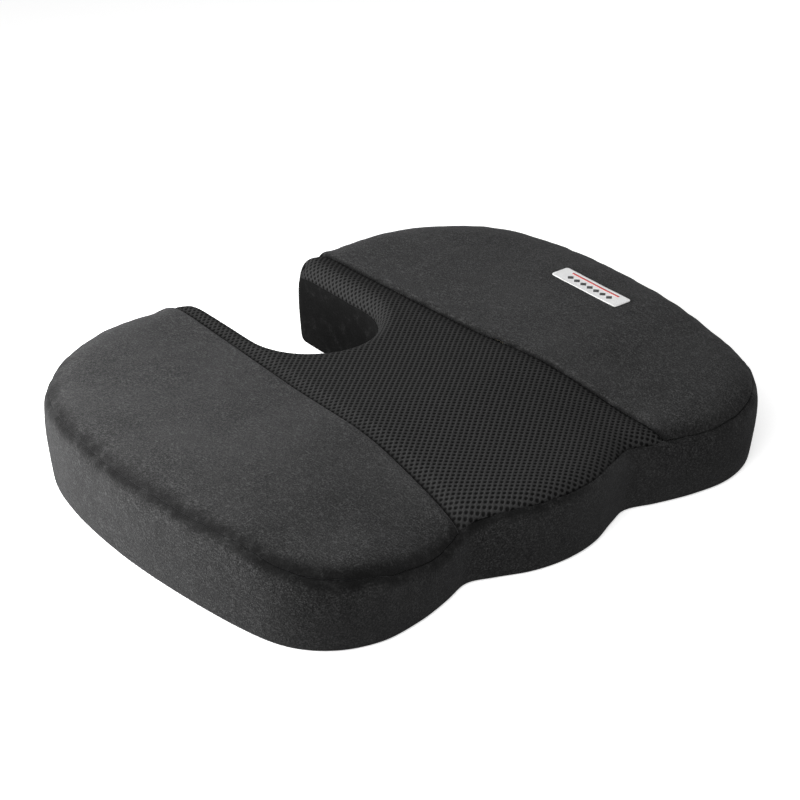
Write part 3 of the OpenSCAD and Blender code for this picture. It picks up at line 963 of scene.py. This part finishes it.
def makeLabel(satin, thread, ink, accent):
    lo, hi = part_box("label")
    middle, half = (lo + hi) / 2, (hi - lo) / 2

    def onCover(x, y, up):
        return Vector((x, y, coverHeight([x, y])[0] + labelLook["lift"] + up))

    r = labelLook["corner"]
    bm = bmesh.new()
    bmesh.ops.create_grid(bm, x_segments=16, y_segments=48, size=1)
    for v in bm.verts:
        x, y = v.co.x * half.x, v.co.y * half.y
        dx, dy = abs(x) - (half.x - r), abs(y) - (half.y - r)
        if dx > 0 and dy > 0:
            shrink = max(dx, dy) / math.hypot(dx, dy)
            x, y = math.copysign(half.x - r + dx * shrink, x), math.copysign(half.y - r + dy * shrink, y)
        v.co = onCover(middle.x + x, middle.y + y, 0)
    faceUp(bm)
    obj = linked("wovenLabel", bm, satin)
    modifier(obj, "SOLIDIFY", thickness=labelLook["thick"], offset=0)
    modifier(obj, "BEVEL", width=0.15 * mm, segments=2, limit_method="ANGLE")
    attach(obj, "cushion")
    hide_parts("label")

    top, inset = labelLook["thick"] / 2, labelLook["inset"]
    bm = bmesh.new()
    for side in (-1, 1):
        for along in np.arange(-half.y + 2.4 * mm, half.y - 2.2 * mm, labelLook["stitch"]):
            place = onCover(middle.x + side * (half.x - inset), middle.y + along, top)
            addStitch(bm, place, math.pi / 2, 1.7 * mm, 0.45 * mm, 0.3 * mm)
        for along in np.arange(-half.x + 2.6 * mm, half.x - 2.2 * mm, labelLook["stitch"]):
            place = onCover(middle.x + along, middle.y + side * (half.y - inset), top)
            addStitch(bm, place, 0, 1.7 * mm, 0.45 * mm, 0.3 * mm)
    obj = linked("labelStitches", bm, thread)
    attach(obj, "cushion")
    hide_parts("label_stitching")

    # a plain woven border pattern: a row of diamonds beside a bar
    count, pitch = labelLook["diamonds"], labelLook["pitch"]
    raised = top + 0.05 * mm
    rows = bmesh.new()
    for i in range(count):
        place = onCover(middle.x + labelLook["rowX"], middle.y + (i - (count - 1) / 2) * pitch, raised)
        size = labelLook["diamond"]
        bmesh.ops.create_cone(rows, cap_ends=True, segments=4, radius1=size, radius2=size * 0.9, depth=0.12 * mm,
                              matrix=Matrix.Translation(place))
    bar = bmesh.new()
    bmesh.ops.create_grid(bar, x_segments=2, y_segments=40, size=1)
    for v in bar.verts:
        x, y = v.co.x * labelLook["bar"] / 2, v.co.y * (count - 1) * pitch * 0.6
        v.co = onCover(middle.x + labelLook["barX"] + x, middle.y + y, raised)
    faceUp(bar)
    for name, shape, material in (("labelDiamonds", rows, ink), ("labelBar", bar, accent)):
        obj = linked(name, shape, material)
        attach(obj, "cushion")
    modifier(obj, "SOLIDIFY", thickness=0.12 * mm, offset=0)


foamDepth = 6.5 * mm  # below the cover's outer face, clear of every seam


def makeFoam(foam):
    bm = bmesh.new()
    bm.from_mesh(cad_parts["foam_core"].data)
    bmesh.ops.remove_doubles(bm, verts=bm.verts, dist=0.01 * mm)
    obj = linked("foamCore", bm, foam)
    modifier(obj, "REMESH", mode="VOXEL", voxel_size=4 * mm)
    modifier(obj, "SMOOTH", factor=0.5, iterations=3)
    modifier(obj, "DISPLACE", strength=-3 * mm, mid_level=0)
    applyModifiers(obj)
    co = coordsOf(obj.data)
    high = co[:, 2] > 15 * mm
    co[high, 2] = np.minimum(co[high, 2], topHeight(co[high, :2]) - foamDepth)
    obj.data.vertices.foreach_set("co", co.ravel())
    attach(obj, "cushion")
    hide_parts("foam_core")


makeCamera()
makeLights()
velour = velourMaterial("velour", velourLook["sheen"])
print("making the cover")
makeTops(velour)
makeMesh(spacerMeshMaterial())
# a copy of the velour without sheen, darker, as painted shade for the notch wall
makeBands(velour, velourMaterial("shadedNotchVelour", 0.0))
makeFoam(foamMaterial())
print("making the underside and its zip")
makeUnderside(gripMaterial())
makeDots(rubberMaterial())
nylon = coilMaterial()
makeCoil("coilFront", "zip_coil_front", nylon)
makeCoil("coilRear", "zip_coil_rear", nylon)
makeZipStitches(threadMaterial("hemThread", 0.05))
print("making the label")
makeLabel(satinMaterial(), threadMaterial("labelThread", 0.75), threadMaterial("labelInk", 0.03),
          threadMaterial("labelAccent", 0.75, (1, 0.07, 0.06)))

tape, enamel = tapeMaterial(), enamelMaterial()
finishes = {
    "zip_tape_front": tape, "zip_tape_rear": tape, "zip_slider": enamel, "zip_pull": enamel,
    "zip_stop_left": enamel, "zip_stop_right": enamel,
}
for node, material in finishes.items():
    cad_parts[node].data.materials.clear()
    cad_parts[node].data.materials.append(material)

floorBm = bmesh.new()
bmesh.ops.create_grid(floorBm, x_segments=1, y_segments=1, size=6)
bmesh.ops.translate(floorBm, vec=(0, 0, -0.3 * mm), verts=floorBm.verts)
floor = linked("floor", floorBm, floorMaterial())
floor.visible_diffuse = floor.visible_glossy = False  # the bright floor lights nothing
